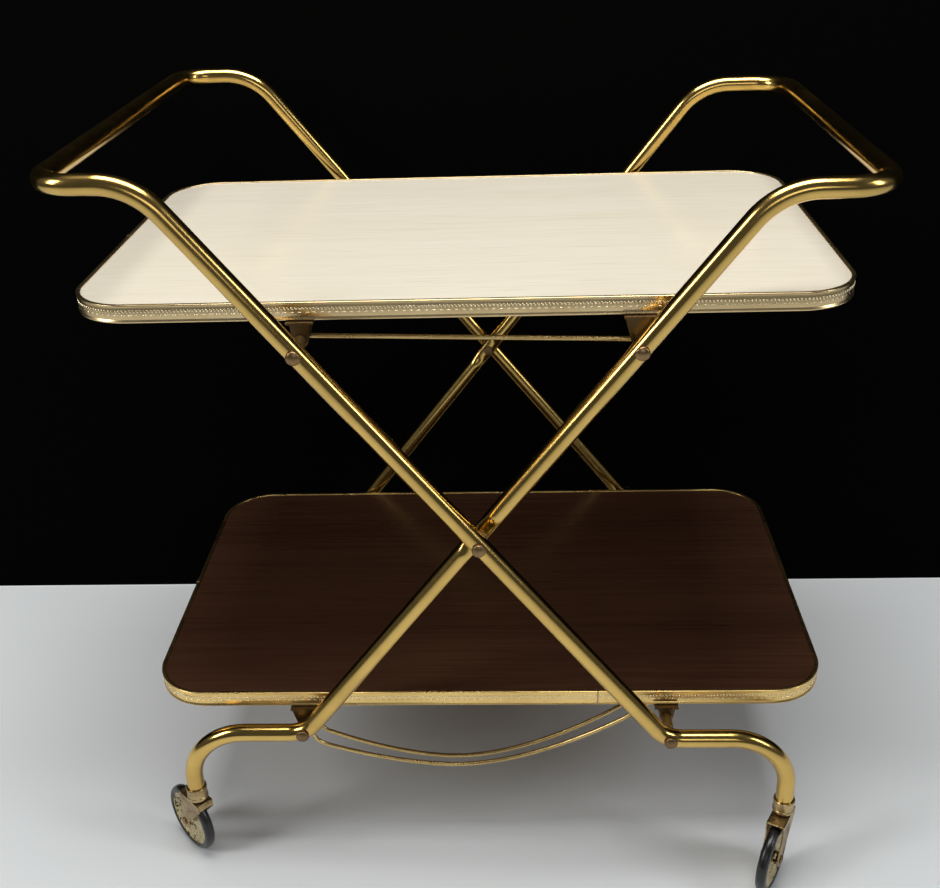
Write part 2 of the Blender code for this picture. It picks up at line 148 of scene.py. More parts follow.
CAMERA_AT = Vector((0.0377, -1.1285, 0.9699))
YAW, PITCH, ROLL = -0.048, 0.4776, -0.0359
ahead = Vector((sin(YAW) * cos(PITCH), cos(YAW) * cos(PITCH), -sin(PITCH)))
level = Vector((cos(YAW), -sin(YAW), 0))
upward = level.cross(ahead)
right = level * cos(ROLL) + upward * sin(ROLL)
upward = upward * cos(ROLL) - level * sin(ROLL)
camera = bpy.data.objects.new("camera", bpy.data.cameras.new("camera"))
camera.data.sensor_width = 36
camera.data.lens = 44.2
camera.data.clip_end = 30
camera.matrix_world = Matrix.Translation(CAMERA_AT) @ Matrix((right, upward, -ahead)).transposed().to_4x4()
bpy.context.scene.collection.objects.link(camera)
bpy.context.scene.camera = camera


# The two frame tubes: 18 mm steel tube, bent cold and brass plated, foot to foot over the handle bar. The
# inner one is pressed flat where the outer one crosses it. The plating is bright, with dull patches and scuffs.
def group_socket(tree, name, way, kind, value=None, low=None):
    socket = tree.interface.new_socket(name=name, in_out=way, socket_type=kind)
    if value is not None:
        socket.default_value = value
    return socket


def build_plating_group():
    """Colour, roughness and height of old plating: dull patches, dark specks and fine scuffs."""
    tree = bpy.data.node_groups.new("worn_plating", "ShaderNodeTree")
    group_socket(tree, "Bright", "INPUT", "NodeSocketColor", (0.8, 0.6, 0.3, 1))
    group_socket(tree, "Dull", "INPUT", "NodeSocketColor", (0.4, 0.28, 0.12, 1))
    group_socket(tree, "Dark", "INPUT", "NodeSocketColor", (0.05, 0.03, 0.015, 1))
    group_socket(tree, "Dullness", "INPUT", "NodeSocketFloat", 0.3)
    group_socket(tree, "Specks", "INPUT", "NodeSocketFloat", 0.1)
    group_socket(tree, "Polish", "INPUT", "NodeSocketFloat", 0.18)
    group_socket(tree, "Patch scale", "INPUT", "NodeSocketFloat", 14.0)
    group_socket(tree, "Color", "OUTPUT", "NodeSocketColor")
    group_socket(tree, "Roughness", "OUTPUT", "NodeSocketFloat")
    group_socket(tree, "Height", "OUTPUT", "NodeSocketFloat")
    given = new_node(tree, "NodeGroupInput")
    result = new_node(tree, "NodeGroupOutput")
    place = new_node(tree, "ShaderNodeTexCoord")
    patches = new_node(tree, "ShaderNodeTexNoise", detail=6.0, roughness=0.62)
    fine = new_node(tree, "ShaderNodeTexNoise", scale=240.0, detail=4.0, roughness=0.7)
    spots = new_node(tree, "ShaderNodeTexVoronoi", scale=330.0)
    scuffs = new_node(tree, "ShaderNodeTexNoise", scale=55.0, detail=8.0, roughness=0.8)
    for texture in (patches, fine, spots, scuffs):
        link_up(tree, (place.outputs["Object"], texture.inputs["Vector"]))
    patch_mask = new_node(tree, "ShaderNodeMapRange")
    patch_mask.inputs["From Min"].default_value = 0.42
    patch_mask.inputs["From Max"].default_value = 0.68
    dulled = new_node(tree, "ShaderNodeMath", operation="MULTIPLY")
    body = new_node(tree, "ShaderNodeMix", data_type="RGBA")
    near_spot = new_node(tree, "ShaderNodeMath", operation="LESS_THAN")
    cluster = new_node(tree, "ShaderNodeMath", operation="MULTIPLY_ADD")
    cluster.inputs[1].default_value = 1.1
    cluster.inputs[2].default_value = 0.35
    clustered = new_node(tree, "ShaderNodeMath", operation="MULTIPLY")
    speck_size = new_node(tree, "ShaderNodeMath", operation="MULTIPLY")
    speckled = new_node(tree, "ShaderNodeMix", data_type="RGBA")
    spread = new_node(tree, "ShaderNodeMath", operation="MULTIPLY_ADD")
    spread.inputs[1].default_value = 0.12
    rougher = new_node(tree, "ShaderNodeMath", operation="MULTIPLY_ADD")
    rougher.inputs[1].default_value = 0.14
    lowered = new_node(tree, "ShaderNodeMath", operation="SUBTRACT")
    link_up(
        tree,
        (given.outputs["Patch scale"], patches.inputs["Scale"]),
        (patches.outputs["Fac"], patch_mask.inputs["Value"]),
        (patch_mask.outputs[0], dulled.inputs[0]),
        (given.outputs["Dullness"], dulled.inputs[1]),
        (dulled.outputs[0], body.inputs["Factor"]),
        (given.outputs["Bright"], body.inputs["A"]),
        (given.outputs["Dull"], body.inputs["B"]),
        (fine.outputs["Fac"], speck_size.inputs[0]),
        (given.outputs["Specks"], speck_size.inputs[1]),
        (spots.outputs["Distance"], near_spot.inputs[0]),
        (patch_mask.outputs[0], cluster.inputs[0]),
        (speck_size.outputs[0], clustered.inputs[0]),
        (cluster.outputs[0], clustered.inputs[1]),
        (clustered.outputs[0], near_spot.inputs[1]),
        (near_spot.outputs[0], speckled.inputs["Factor"]),
        (body.outputs["Result"], speckled.inputs["A"]),
        (given.outputs["Dark"], speckled.inputs["B"]),
        (speckled.outputs["Result"], result.inputs["Color"]),
        (scuffs.outputs["Fac"], rougher.inputs[0]),
        (given.outputs["Polish"], rougher.inputs[2]),
        (dulled.outputs[0], spread.inputs[0]),
        (rougher.outputs[0], spread.inputs[2]),
        (spread.outputs[0], result.inputs["Roughness"]),
        (fine.outputs["Fac"], lowered.inputs[0]),
        (near_spot.outputs[0], lowered.inputs[1]),
        (lowered.outputs[0], result.inputs["Height"]),
    )
    return tree


def plated(name, bright, dull, dark, dullness, specks, polish, bump=0.02, patch_scale=14.0):
    """A metal finish that takes its wear from the plating group."""
    material = bpy.data.materials.new(name)
    material.use_nodes = True
    tree = material.node_tree
    shader = tree.nodes["Principled BSDF"]
    shader.inputs["Metallic"].default_value = 1
    wear = new_node(tree, "ShaderNodeGroup", node_tree=worn_plating)
    for word, value in (("Bright", bright), ("Dull", dull), ("Dark", dark)):
        wear.inputs[word].default_value = (*value, 1)
    amounts = {"Dullness": dullness, "Specks": specks, "Polish": polish, "Patch scale": patch_scale}
    for word, value in amounts.items():
        wear.inputs[word].default_value = value
    relief = new_node(tree, "ShaderNodeBump", strength=bump, distance=0.0004)
    link_up(
        tree,
        (wear.outputs["Color"], shader.inputs["Base Color"]),
        (wear.outputs["Roughness"], shader.inputs["Roughness"]),
        (wear.outputs["Height"], relief.inputs["Height"]),
        (relief.outputs["Normal"], shader.inputs["Normal"]),
    )
    return material


worn_plating = build_plating_group()
GOLD, OLD_GOLD, SOOT = (0.70, 0.47, 0.14), (0.42, 0.27, 0.08), (0.05, 0.03, 0.012)
tube_brass = plated("tube_brass", GOLD, OLD_GOLD, SOOT, 0.45, 0.06, 0.09, 0.01)


def build_sweep_tree():
    """A round bar drawn along a line of joined points."""
    tree = bpy.data.node_groups.new("bar_along_path", "GeometryNodeTree")
    group_socket(tree, "Path", "INPUT", "NodeSocketGeometry")
    group_socket(tree, "Bar radius", "INPUT", "NodeSocketFloat", 0.009)
    group_socket(tree, "Sides", "INPUT", "NodeSocketInt", 32)
    group_socket(tree, "Finish", "INPUT", "NodeSocketMaterial")
    group_socket(tree, "Bar", "OUTPUT", "NodeSocketGeometry")
    given = new_node(tree, "NodeGroupInput")
    result = new_node(tree, "NodeGroupOutput")
    line = new_node(tree, "GeometryNodeMeshToCurve")
    ring = new_node(tree, "GeometryNodeCurvePrimitiveCircle")
    bar = new_node(tree, "GeometryNodeCurveToMesh")
    bar.inputs["Fill Caps"].default_value = True
    real = new_node(tree, "GeometryNodeRealizeInstances")
    painted = new_node(tree, "GeometryNodeSetMaterial")
    link_up(
        tree,
        (given.outputs["Path"], line.inputs["Mesh"]),
        (given.outputs["Bar radius"], ring.inputs["Radius"]),
        (given.outputs["Sides"], ring.inputs["Resolution"]),
        (line.outputs["Curve"], bar.inputs["Curve"]),
        (ring.outputs["Curve"], bar.inputs["Profile Curve"]),
        (bar.outputs["Mesh"], real.inputs["Geometry"]),
        (real.outputs["Geometry"], painted.inputs["Geometry"]),
        (given.outputs["Finish"], painted.inputs["Material"]),
        (painted.outputs["Geometry"], result.inputs["Bar"]),
    )
    return tree


def line_mesh(name, points, closed=False):
    mesh = bpy.data.meshes.new(name)
    ends = [(k, k + 1) for k in range(len(points) - 1)]
    if closed:
        ends.append((len(points) - 1, 0))
    mesh.from_pydata([tuple(point) for point in points], ends, [])
    return mesh


def grown(name, mesh, tree, **sizes):
    """The plain mesh object that a geometry tree makes from a starting mesh, with no modifier left on it."""
    start = bpy.data.objects.new(name + "_start", mesh)
    bpy.context.scene.collection.objects.link(start)
    modifier = start.modifiers.new("grow", "NODES")
    modifier.node_group = tree
    for item in tree.interface.items_tree:
        word = item.name.lower().replace(" ", "_")
        if item.in_out == "INPUT" and word in sizes:
            modifier[item.identifier] = sizes[word]
    start.update_tag()
    bpy.context.view_layer.update()
    graph = bpy.context.evaluated_depsgraph_get()
    made = bpy.data.meshes.new_from_object(start.evaluated_get(graph))
    made.name = name
    start.modifiers.clear()
    bpy.data.objects.remove(start, do_unlink=True)
    made.shade_smooth()
    made.set_sharp_from_angle(angle=radians(40))
    piece = bpy.data.objects.new(name, made)
    bpy.context.scene.collection.objects.link(piece)
    return piece


def stands_for(piece, body, slot, *nodes):
    """A finished piece rides on its body, in place of the plain nodes."""
    if nodes:
        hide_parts(*nodes)
    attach(piece, body)
    return piece


def rounded_path(corners):
    """Points along straight runs. Each corner is (point, radius, steps)."""
    path = [Vector(corners[0][0])]
    for before, here, after in zip(corners, corners[1:], corners[2:]):
        corner, radius, steps = Vector(here[0]), here[1], here[2]
        if not radius:
            path.append(corner)
            continue
        back = (Vector(before[0]) - corner).normalized()
        onward = (Vector(after[0]) - corner).normalized()
        half = back.angle(onward) / 2
        middle = corner + (back + onward).normalized() * (radius / sin(half))
        start = corner + back * (radius / tan(half)) - middle
        end = corner + onward * (radius / tan(half)) - middle
        sweep = start.angle(end)
        for k in range(steps + 1):
            a = sweep * k / steps
            path.append(middle + (start * sin(sweep - a) + end * sin(a)) / sin(sweep))
    path.append(Vector(corners[-1][0]))
    return path


def centre_of(node):
    low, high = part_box(node)
    return (low + high) / 2


TUBE_R = 0.009
CROSS = Vector(joints["frame_fold"]["pos_m"])
LEG_RUN = 0.781
HANDLE_BEND, FOOT_BEND, KNEE_BEND = 0.065, 0.060, 0.035
PRESS_INNER, PRESS_OUTER, PRESSED = 0.012, 0.027, 0.667
tubes = {
    "outer_frame": {"node": "outer_frame_tube", "hand": -1, "corner": 0.034, "foot_z": 0.1770},
    "inner_frame": {"node": "inner_frame_tube", "hand": 1, "corner": 0.040, "foot_z": 0.1700},
}


def leg_corners(tube, side):
    """One side of a frame from its foot, over its crossing, to its handle corner."""
    low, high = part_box(tube["node"])
    hand = tube["hand"]
    bar_x = (high.x if hand > 0 else low.x) - hand * TUBE_R
    foot_x = (low.x if hand > 0 else high.x) + hand * TUBE_R
    bar_z, foot_z = high.z - TUBE_R, tube["foot_z"]
    y = side * (high.y - TUBE_R)
    bend_x = hand * (bar_z - CROSS.z) * LEG_RUN
    knee_x = -hand * (CROSS.z - foot_z) * LEG_RUN
    corners = [((foot_x, y, low.z), 0, 0), ((foot_x, y, foot_z), FOOT_BEND, 20)]
    corners.append(((knee_x, y, foot_z), KNEE_BEND, 12))
    run = Vector((hand * LEG_RUN, 0, 1)).normalized()
    for k in range(-16, 17):
        corners.append((Vector((0, y, CROSS.z)) + run * 0.0025 * k, 0, 0))
    corners.append(((bend_x, y, bar_z), HANDLE_BEND, 18))
    corners.append(((bar_x, y, bar_z), tube["corner"], 16))
    return corners


def press_flat(mesh, y):
    """Presses the tube flat across its depth where the other one crosses it."""
    for vertex in mesh.vertices:
        away = hypot(vertex.co.x, vertex.co.z - CROSS.z)
        if away > PRESS_OUTER + TUBE_R or abs(vertex.co.y) < y / 2:
            continue
        share = min(1, max(0, (away - PRESS_INNER) / (PRESS_OUTER - PRESS_INNER)))
        share = share * share * (3 - 2 * share)
        plane = y if vertex.co.y > 0 else -y
        vertex.co.y = plane + (vertex.co.y - plane) * (PRESSED + (1 - PRESSED) * share)


bar_along_path = build_sweep_tree()
for body, tube in tubes.items():
    path = rounded_path(leg_corners(tube, -1) + leg_corners(tube, 1)[::-1])
    start = line_mesh(body + "_line", path)
    piece = grown(body + "_brass_tube", start, bar_along_path, bar_radius=TUBE_R, sides=40, finish=tube_brass)
    if body == "inner_frame":
        press_flat(piece.data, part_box(tube["node"])[1].y - TUBE_R)
    stands_for(piece, body, "polished_brass", tube["node"])


# The pivots: mushroom rivets of browned brass, turned, with a low domed head, and turned bushes and washers
# between the frames and the trays. The centre rivets also have a flange on the inside.
def turned(name, profile, placed, finish, steps=48):
    """A shape turned about local Z from (radius, height) points, closed at radius 0 or back to its start."""
    solid = profile[0][0] == 0
    rings = profile[1:-1] if solid else profile
    around = [(cos(2 * pi * k / steps), sin(2 * pi * k / steps)) for k in range(steps)]
    points = [(r * c, r * s, h) for r, h in rings for c, s in around]
    faces = []
    for i in range(len(rings) - 1 if solid else len(rings)):
        low, high = i * steps, (i + 1) % len(rings) * steps
        faces += [(low + k, low + (k + 1) % steps, high + (k + 1) % steps, high + k) for k in range(steps)]
    if solid:
        first, last = len(points), (len(rings) - 1) * steps
        points += [(0, 0, profile[0][1]), (0, 0, profile[-1][1])]
        for k in range(steps):
            n = (k + 1) % steps
            faces += [(first, n, k), (first + 1, last + k, last + n)]
    mesh = bpy.data.meshes.new(name)
    mesh.from_pydata(points, [], faces)
    mesh.transform(placed)
    mesh.update()
    mesh.materials.append(finish)
    mesh.shade_smooth()
    mesh.set_sharp_from_angle(angle=radians(32))
    piece = bpy.data.objects.new(name, mesh)
    bpy.context.scene.collection.objects.link(piece)
    return piece


def arc_points(r_centre, h_centre, r, start, end, steps):
    found = []
    for k in range(steps + 1):
        a = radians(start + (end - start) * k / steps)
        found.append((r_centre + r * cos(a), h_centre + r * sin(a)))
    return found


def outward(side, place):
    """Placement whose local Z points out of the front or the rear, at a point."""
    return Matrix.Translation(place) @ Matrix.Rotation(-side * pi / 2, 4, "X")


rivet_brown = plated("rivet_brown", (0.30, 0.19, 0.09), (0.09, 0.055, 0.03), SOOT, 0.9, 0.35, 0.26, 0.2)
bush_brass = plated("bush_brass", (0.40, 0.27, 0.11), (0.22, 0.14, 0.07), SOOT, 0.8, 0.30, 0.28, 0.15)
HEAD_R, SHANK_R = 0.0066, 0.0030
HEAD_HIGH = 0.0040
ends = (("front", -1), ("rear", 1))
pins = {"centre": "outer_frame", "upper_left": "outer_frame", "lower_right": "outer_frame"}
pins.update({"upper_right": "inner_frame", "lower_left": "inner_frame"})
for word, body in pins.items():
    for end, side in ends:
        node = f"pin_{word}_{end}"
        low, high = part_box(node)
        place = centre_of(node)
        top = high.y if side > 0 else low.y
        place.y = top - side * HEAD_HIGH
        shank = high.y - low.y - HEAD_HIGH
        profile = [(0, -shank), (SHANK_R - 0.0003, -shank), (SHANK_R, -shank + 0.0004)]
        profile += [(SHANK_R, 0), (HEAD_R, 0)]
        if word == "centre":
            profile[1:2] = [(0.0048, -shank), (0.0052, -shank + 0.0008), (0.0052, -shank + 0.0020)]
            profile[4] = (SHANK_R, -shank + 0.0022)
        profile += [(HEAD_R, 0.0010)] + arc_points(HEAD_R - 0.0022, 0.0010, 0.0020, 0, 62, 5)
        profile += [(0.0030, 0.0036), (0.0012, HEAD_HIGH), (0, HEAD_HIGH)]
        piece = turned(f"rivet_{word}_{end}", profile, outward(side, place), rivet_brown)
        stands_for(piece, body, "browned_brass", node)
for word, outer_r, inner_r in (("spacer_upper_left", 0.0052, 0.0034), ("spacer_lower_right", 0.0052, 0.0034),
                               ("washer_centre", 0.0075, 0.0034)):
    for end, side in ends:
        node = f"{word}_{end}"
        low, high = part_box(node)
        place = centre_of(node)
        place.y = low.y if side > 0 else high.y
        long = high.y - low.y
        edge = 0.0004
        profile = [(inner_r, 0), (outer_r - edge, 0), (outer_r, edge), (outer_r, long - edge)]
        profile += [(outer_r - edge, long), (inner_r, long)]
        piece = turned(f"turned_{node}", profile, outward(side, place), bush_brass)
        stands_for(piece, "outer_frame", "polished_brass", node)


# The trays: pressed board with a wood-print laminate, pale on the top tray and walnut on the lower one. A thin
# rolled brass band goes round each, with a lip above and below, a rope line, a line of dashes and a joint. The
# rope marks and dashes are coloured paler than the band, a painted highlight for their glint.
def rounded_rectangle(half_x, half_y, r, x, steps=20):
    outline = []
    for sx, sy, start in ((1, 1, 0), (-1, 1, 90), (-1, -1, 180), (1, -1, 270)):
        outline += [(x + sx * (half_x - r) + r * cos(radians(start + 90 * k / steps)),
                     sy * (half_y - r) + r * sin(radians(start + 90 * k / steps))) for k in range(steps + 1)]
    return outline


def sheet_piece(name, outline, low, high, edge, finish):
    """A flat sheet with its top and bottom edges eased."""
    levels = [(edge, low), (0, low + edge), (0, high - edge), (edge, high)]
    middle_x = (max(x for x, y in outline) + min(x for x, y in outline)) / 2
    reach_x = max(x for x, y in outline) - middle_x
    reach_y = max(y for x, y in outline)
    points = []
    for inset, z in levels:
        kx, ky = 1 - inset / reach_x, 1 - inset / reach_y
        points += [(middle_x + (x - middle_x) * kx, y * ky, z) for x, y in outline]
    count = len(outline)
    faces = [tuple(reversed(range(count))), tuple(range(3 * count, 4 * count))]
    for i in range(3):
        for k in range(count):
            n = (k + 1) % count
            faces.append((i * count + k, i * count + n, (i + 1) * count + n, (i + 1) * count + k))
    mesh = bpy.data.meshes.new(name)
    mesh.from_pydata(points, [], faces)
    mesh.update()
    mesh.materials.append(finish)
    piece = bpy.data.objects.new(name, mesh)
    bpy.context.scene.collection.objects.link(piece)
    return piece


def build_grain_group():
    """Printed wood grain along X: broad bands, fine streaks and short pores, as masks from 0 to 1."""
    tree = bpy.data.node_groups.new("wood_print", "ShaderNodeTree")
    group_socket(tree, "Band scale", "INPUT", "NodeSocketFloat", 9.0)
    group_socket(tree, "Streak scale", "INPUT", "NodeSocketFloat", 160.0)
    group_socket(tree, "Wander", "INPUT", "NodeSocketFloat", 0.02)
    for name in ("Bands", "Streaks", "Pores"):
        group_socket(tree, name, "OUTPUT", "NodeSocketFloat")
    given = new_node(tree, "NodeGroupInput")
    result = new_node(tree, "NodeGroupOutput")
    place = new_node(tree, "ShaderNodeTexCoord")
    drift = new_node(tree, "ShaderNodeTexNoise", scale=3.0, detail=2.0)
    push = new_node(tree, "ShaderNodeVectorMath", operation="SCALE")
    moved = new_node(tree, "ShaderNodeVectorMath", operation="ADD")
    long_way = new_node(tree, "ShaderNodeMapping")
    long_way.inputs["Scale"].default_value = (0.05, 1, 1)
    short_way = new_node(tree, "ShaderNodeMapping")
    short_way.inputs["Scale"].default_value = (0.018, 1, 1)
    pore_way = new_node(tree, "ShaderNodeMapping")
    pore_way.inputs["Scale"].default_value = (0.025, 1, 1)
    bands = new_node(tree, "ShaderNodeTexNoise", detail=5.0, roughness=0.6)
    streaks = new_node(tree, "ShaderNodeTexNoise", detail=4.0, roughness=0.7)
    pores = new_node(tree, "ShaderNodeTexNoise", scale=520.0, detail=2.0, roughness=0.5)
    sharp = new_node(tree, "ShaderNodeMapRange")
    sharp.inputs["From Min"].default_value = 0.58
    sharp.inputs["From Max"].default_value = 0.70
    link_up(
        tree,
        (place.outputs["Object"], drift.inputs["Vector"]),
        (drift.outputs["Color"], push.inputs[0]),
        (given.outputs["Wander"], push.inputs["Scale"]),
        (place.outputs["Object"], moved.inputs[0]),
        (push.outputs[0], moved.inputs[1]),
        (moved.outputs[0], long_way.inputs["Vector"]),
        (moved.outputs[0], short_way.inputs["Vector"]),
        (moved.outputs[0], pore_way.inputs["Vector"]),
        (long_way.outputs[0], bands.inputs["Vector"]),
        (short_way.outputs[0], streaks.inputs["Vector"]),
        (pore_way.outputs[0], pores.inputs["Vector"]),
        (given.outputs["Band scale"], bands.inputs["Scale"]),
        (given.outputs["Streak scale"], streaks.inputs["Scale"]),
        (pores.outputs["Fac"], sharp.inputs["Value"]),
        (bands.outputs["Fac"], result.inputs["Bands"]),
        (streaks.outputs["Fac"], result.inputs["Streaks"]),
        (sharp.outputs[0], result.inputs["Pores"]),
    )
    return tree


def laminate(name, light, dark, pore, band_scale, streak_scale, wander, pore_share, gloss):
    """A printed laminate under a clear hard film."""
    material = bpy.data.materials.new(name)
    material.use_nodes = True
    tree = material.node_tree
    shader = tree.nodes["Principled BSDF"]
    grain = new_node(tree, "ShaderNodeGroup", node_tree=wood_print)
    grain.inputs["Band scale"].default_value = band_scale
    grain.inputs["Streak scale"].default_value = streak_scale
    grain.inputs["Wander"].default_value = wander
    spread = new_node(tree, "ShaderNodeMath", operation="MULTIPLY_ADD")
    spread.inputs[1].default_value = 0.55
    broad = new_node(tree, "ShaderNodeMath", operation="MULTIPLY")
    broad.inputs[1].default_value = 0.45
    contrast = new_node(tree, "ShaderNodeMapRange")
    contrast.inputs["From Min"].default_value = 0.34
    contrast.inputs["From Max"].default_value = 0.66
    body = new_node(tree, "ShaderNodeMix", data_type="RGBA")
    body.inputs["A"].default_value = (*light, 1)
    body.inputs["B"].default_value = (*dark, 1)
    pored = new_node(tree, "ShaderNodeMix", data_type="RGBA")
    pored.inputs["B"].default_value = (*pore, 1)
    fewer = new_node(tree, "ShaderNodeMath", operation="MULTIPLY")
    fewer.inputs[1].default_value = pore_share
    relief = new_node(tree, "ShaderNodeBump", strength=0.05, distance=0.0002)
    sheen = new_node(tree, "ShaderNodeMath", operation="MULTIPLY_ADD")
    sheen.inputs[1].default_value = 0.10
    sheen.inputs[2].default_value = gloss
    link_up(
        tree,
        (grain.outputs["Bands"], broad.inputs[0]),
        (grain.outputs["Streaks"], spread.inputs[0]),
        (broad.outputs[0], spread.inputs[2]),
        (spread.outputs[0], contrast.inputs["Value"]),
        (contrast.outputs[0], body.inputs["Factor"]),
        (body.outputs["Result"], pored.inputs["A"]),
        (grain.outputs["Pores"], fewer.inputs[0]),
        (fewer.outputs[0], pored.inputs["Factor"]),
        (pored.outputs["Result"], shader.inputs["Base Color"]),
        (grain.outputs["Bands"], sheen.inputs[0]),
        (sheen.outputs[0], shader.inputs["Roughness"]),
        (grain.outputs["Streaks"], relief.inputs["Height"]),
        (relief.outputs["Normal"], shader.inputs["Normal"]),
    )
    return material


def build_emboss_tree():
    """Small raised ovals set at one pitch along a closed line, leaning the same way."""
    tree = bpy.data.node_groups.new("marks_along_band", "GeometryNodeTree")
    group_socket(tree, "Path", "INPUT", "NodeSocketGeometry")
    group_socket(tree, "Pitch", "INPUT", "NodeSocketFloat", 0.0032)
    group_socket(tree, "Mark size", "INPUT", "NodeSocketVector", (0.001, 0.001, 0.001))
    group_socket(tree, "Lean", "INPUT", "NodeSocketVector", (0, 0, 0))
    group_socket(tree, "Finish", "INPUT", "NodeSocketMaterial")
    group_socket(tree, "Marks", "OUTPUT", "NodeSocketGeometry")
    given = new_node(tree, "NodeGroupInput")
    result = new_node(tree, "NodeGroupOutput")
    line = new_node(tree, "GeometryNodeMeshToCurve")
    evenly = new_node(tree, "GeometryNodeResampleCurve", mode="LENGTH")
    along = new_node(tree, "GeometryNodeInputTangent")
    aligned = new_node(tree, "FunctionNodeAlignRotationToVector", axis="X", pivot_axis="Z")
    lean = new_node(tree, "FunctionNodeEulerToRotation")
    leaning = new_node(tree, "FunctionNodeRotateRotation", rotation_space="LOCAL")
    oval = new_node(tree, "GeometryNodeMeshUVSphere")
    oval.inputs["Segments"].default_value = 8
    oval.inputs["Rings"].default_value = 5
    oval.inputs["Radius"].default_value = 1
    marks = new_node(tree, "GeometryNodeInstanceOnPoints")
    real = new_node(tree, "GeometryNodeRealizeInstances")
    painted = new_node(tree, "GeometryNodeSetMaterial")
    link_up(
        tree,
        (given.outputs["Path"], line.inputs["Mesh"]),
        (line.outputs["Curve"], evenly.inputs["Curve"]),
        (given.outputs["Pitch"], evenly.inputs["Length"]),
        (along.outputs[0], aligned.inputs["Vector"]),
        (given.outputs["Lean"], lean.inputs[0]),
        (aligned.outputs[0], leaning.inputs["Rotation"]),
        (lean.outputs[0], leaning.inputs["Rotate By"]),
        (evenly.outputs["Curve"], marks.inputs["Points"]),
        (oval.outputs["Mesh"], marks.inputs["Instance"]),
        (leaning.outputs[0], marks.inputs["Rotation"]),
        (given.outputs["Mark size"], marks.inputs["Scale"]),
        (marks.outputs["Instances"], real.inputs["Geometry"]),
        (real.outputs["Geometry"], painted.inputs["Geometry"]),
        (given.outputs["Finish"], painted.inputs["Material"]),
        (painted.outputs["Geometry"], result.inputs["Marks"]),
    )
    return tree


def band_piece(name, half_x, half_y, corner, x, section, finish):
    """The band's section, as (inward, height) points, carried round the tray."""
    points, faces = [], []
    for inward, z in section:
        ring = rounded_rectangle(half_x - inward, half_y - inward, corner - inward, x)
        points += [(px, py, z) for px, py in ring]
    count = len(points) // len(section)
    for i in range(len(section)):
        low, high = i * count, (i + 1) % len(section) * count
        faces += [(high + k, high + (k + 1) % count, low + (k + 1) % count, low + k) for k in range(count)]
    mesh = bpy.data.meshes.new(name)
    mesh.from_pydata(points, [], faces)
    mesh.update()
    mesh.materials.append(finish)
    mesh.shade_smooth()
    mesh.set_sharp_from_angle(angle=radians(32))
    piece = bpy.data.objects.new(name, mesh)
    bpy.context.scene.collection.objects.link(piece)
    return piece


def block(name, low, high, edge, finish):
    """A block with eased edges."""
    (x0, y0, z0), (x1, y1, z1) = low, high
    points = [(x, y, z) for z in (z0, z1) for x, y in ((x0, y0), (x1, y0), (x1, y1), (x0, y1))]
    faces = [(3, 2, 1, 0), (4, 5, 6, 7), (0, 1, 5, 4), (1, 2, 6, 5), (2, 3, 7, 6), (3, 0, 4, 7)]
    mesh = bpy.data.meshes.new(name)
    mesh.from_pydata(points, [], faces)
    mesh.update()
    mesh.materials.append(finish)
    piece = bpy.data.objects.new(name, mesh)
    bpy.context.scene.collection.objects.link(piece)
    eased = piece.modifiers.new("eased", "BEVEL")
    eased.width = edge
    eased.segments = 2
    return piece


wood_print = build_grain_group()
marks_along_band = build_emboss_tree()
IVORY, IVORY_GRAIN, IVORY_PORE = (0.83, 0.78, 0.66), (0.76, 0.69, 0.55), (0.60, 0.51, 0.38)
WALNUT, WALNUT_GRAIN, WALNUT_PORE = (0.080, 0.036, 0.020), (0.042, 0.017, 0.009), (0.018, 0.007, 0.004)
GRAIN_SCALES = (14, 260, 0.012)
pale_print = laminate("pale_print", IVORY, IVORY_GRAIN, IVORY_PORE, *GRAIN_SCALES, 0.35, 0.15)
walnut_print = laminate("walnut_print", WALNUT, WALNUT_GRAIN, WALNUT_PORE, *GRAIN_SCALES, 0.20, 0.18)
pale_band = plated("pale_band", (0.74, 0.57, 0.31), (0.56, 0.41, 0.20), SOOT, 0.6, 0.10, 0.20, 0)
rich_band = plated("rich_band", (0.82, 0.58, 0.22), (0.62, 0.42, 0.14), SOOT, 0.6, 0.10, 0.20, 0)
# The rope marks and dashes are the band's own brass, painted paler than the band: a painted highlight for the
# glint on the raised marks.
mark_brass = plated("mark_brass", (0.95, 0.82, 0.56), (0.80, 0.62, 0.34), SOOT, 0.5, 0.06, 0.14, 0)
joint_brass = plated("joint_brass", (0.42, 0.31, 0.16), (0.20, 0.13, 0.07), SOOT, 0.8, 0.3, 0.3)


def chip_board():
    """Pressed board: fine chips in two browns."""
    material = bpy.data.materials.new("chip_board")
    material.use_nodes = True
    tree = material.node_tree
    shader = tree.nodes["Principled BSDF"]
    shader.inputs["Roughness"].default_value = 0.85
    place = new_node(tree, "ShaderNodeTexCoord")
    chips = new_node(tree, "ShaderNodeTexVoronoi", scale=260.0)
    stains = new_node(tree, "ShaderNodeTexNoise", scale=9.0, detail=5.0)
    mixed = new_node(tree, "ShaderNodeMix", data_type="RGBA")
    mixed.inputs["A"].default_value = (0.36, 0.25, 0.15, 1)
    mixed.inputs["B"].default_value = (0.22, 0.14, 0.08, 1)
    chipped = new_node(tree, "ShaderNodeMix", data_type="RGBA", blend_type="MULTIPLY")
    chipped.inputs["Factor"].default_value = 0.25
    relief = new_node(tree, "ShaderNodeBump", strength=0.3, distance=0.0003)
    link_up(
        tree,
        (place.outputs["Object"], chips.inputs["Vector"]),
        (place.outputs["Object"], stains.inputs["Vector"]),
        (stains.outputs["Fac"], mixed.inputs["Factor"]),
        (mixed.outputs["Result"], chipped.inputs["A"]),
        (chips.outputs["Color"], chipped.inputs["B"]),
        (chipped.outputs["Result"], shader.inputs["Base Color"]),
        (chips.outputs["Distance"], relief.inputs["Height"]),
        (relief.outputs["Normal"], shader.inputs["Normal"]),
    )
    return material


